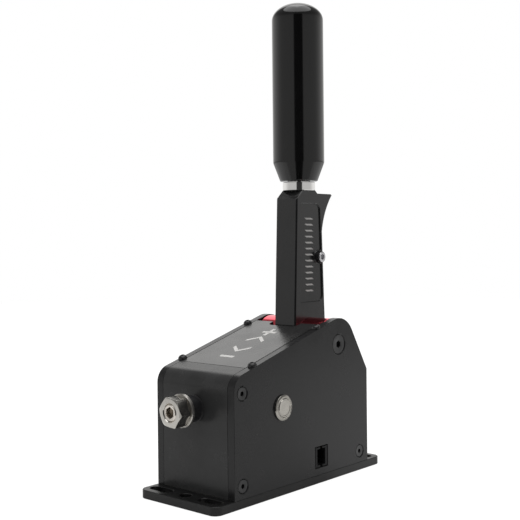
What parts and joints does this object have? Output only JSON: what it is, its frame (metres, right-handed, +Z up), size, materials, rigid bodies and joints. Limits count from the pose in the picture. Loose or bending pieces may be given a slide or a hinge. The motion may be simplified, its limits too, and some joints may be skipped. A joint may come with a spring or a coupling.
{
  "type": "gear shifter",
  "caption": "Simulator gear shifter: a tall round knob on a tapered sprung lever with a finger trigger, rocking in a boxed base with a preload adjuster, push button and plug jack.",
  "frame": {"origin": "middle of the base plate's underside", "axes": "+Z up along the lever, -Y towards the preload adjuster, +X towards the push button and jack"},
  "size_m": [0.0764, 0.193, 0.3599],
  "materials": {
    "housing_black": "satin black anodised",
    "cover_black": "matt black anodised",
    "top_black": "smooth black anodised",
    "lever_black": "satin black anodised",
    "knob_black": "glossy black anodised",
    "collar_metal": "turned and polished",
    "red_anodised": "satin red anodised",
    "inner_aluminium": "milled",
    "black_steel": "black oxide",
    "ground_steel": "ground",
    "polished_steel": "polished",
    "zinc_steel": "zinc plated",
    "dark_zinc_steel": "dark zinc plated",
    "spring_steel": "drawn wire",
    "button_steel": "satin stainless",
    "bronze": "sintered",
    "brass": "turned",
    "slide_plastic": "moulded",
    "black_plastic": "moulded",
    "board_green": "lacquered",
    "stop_rubber": "moulded",
    "lead_red": "insulated wire",
    "lead_black": "insulated wire"
  },
  "bodies": {
    "housing": {"base_plate": "housing_black", "left_side_plate": "housing_black", "right_side_plate": "housing_black", "front_bulkhead": "inner_aluminium", "rear_bulkhead": "inner_aluminium", "front_cover": "cover_black", "top_plate": "top_black", "rear_cover": "cover_black", "side_screws": "black_steel", "top_screws": "black_steel", "base_screws": "black_steel", "pivot_axle": "ground_steel", "axle_screws": "black_steel", "thrust_washers": "slide_plastic", "stop_pins": "ground_steel", "stop_sleeves": "stop_rubber", "adjuster_bush": "cover_black", "lock_washer": "polished_steel", "guide_rod": "ground_steel", "front_spring": "spring_steel", "rear_spring": "spring_steel", "button_housing": "button_steel", "button_nut": "zinc_steel", "button_terminals": "brass", "button_spring": "spring_steel", "signal_jack": "black_plastic", "jack_contacts": "brass", "circuit_board": "board_green", "board_chips": "black_plastic", "board_bracket": "inner_aluminium", "board_screws": "zinc_steel", "sensor_board": "board_green", "hall_sensor": "black_plastic", "sensor_posts": "brass", "button_lead": "lead_red", "sensor_lead": "lead_black"},
    "lever": {"lever_bar": "lever_black", "left_rocker_cheek": "red_anodised", "right_rocker_cheek": "red_anodised", "cheek_bolts": "black_steel", "cheek_nuts": "zinc_steel", "pivot_bushes": "bronze", "sensor_magnet": "polished_steel", "lever_collar": "collar_metal", "knob_stud": "zinc_steel", "knob_insert": "brass", "knob": "knob_black", "trigger_screw": "zinc_steel", "trigger_nut": "zinc_steel", "trigger_switch": "black_plastic", "trigger_spring": "spring_steel"},
    "trigger": {"trigger": "lever_black", "trigger_bush": "bronze"},
    "button": {"button_cap": "button_steel"},
    "front_follower": {"front_cup": "inner_aluminium"},
    "rear_follower": {"rear_cup": "inner_aluminium"},
    "seat": {"spring_seat": "inner_aluminium"},
    "adjuster": {"preload_screw": "dark_zinc_steel"},
    "nut": {"lock_nut": "zinc_steel"}
  },
  "joints": [
    {"name": "lever_rock", "type": "hinge", "parent": "housing", "child": "lever", "pos_m": [0, 0.04, 0.099], "axis": [1, 0, 0], "range_deg": [-7, 7], "stiffness_Nm_per_rad": 80, "deforming": ["front_spring", "rear_spring"]},
    {"name": "front_cup_slide", "type": "slide", "parent": "housing", "child": "front_follower", "axis": [0, 1, 0], "range_m": [-0.0045, 0.0045], "deforming": ["front_spring"]},
    {"name": "rear_cup_slide", "type": "slide", "parent": "housing", "child": "rear_follower", "axis": [0, 1, 0], "range_m": [-0.0045, 0.0045], "deforming": ["rear_spring"]},
    {"name": "trigger_pull", "type": "hinge", "parent": "lever", "child": "trigger", "pos_m": [0, 0.051, 0.164], "axis": [1, 0, 0], "range_deg": [0, 5.5], "stiffness_Nm_per_rad": 2, "springref_deg": -5.73, "deforming": ["trigger_spring"]},
    {"name": "button_press", "type": "slide", "parent": "housing", "child": "button", "axis": [-1, 0, 0], "range_m": [0, 0.0015], "stiffness_N_per_m": 1500, "springref_m": -0.001, "deforming": ["button_spring"]},
    {"name": "seat_feed", "type": "slide", "parent": "housing", "child": "seat", "axis": [0, 1, 0], "range_m": [0, 0.007], "deforming": ["front_spring"]},
    {"name": "adjuster_turn", "type": "hinge", "parent": "seat", "child": "adjuster", "pos_m": [0, -0.099, 0.0635], "axis": [0, 1, 0], "range_deg": [0, 1440], "deforming": ["front_spring"]},
    {"name": "nut_turn", "type": "hinge", "parent": "housing", "child": "nut", "pos_m": [0, -0.094, 0.0635], "axis": [0, -1, 0], "range_deg": [0, 60]}
  ],
  "couplings": [
    {"joint": "front_cup_slide", "follows": "lever_rock", "m_per_rad": 0.0355},
    {"joint": "rear_cup_slide", "follows": "lever_rock", "m_per_rad": 0.0355},
    {"joint": "adjuster_turn", "follows": "seat_feed", "rad_per_m": 3590}
  ]
}
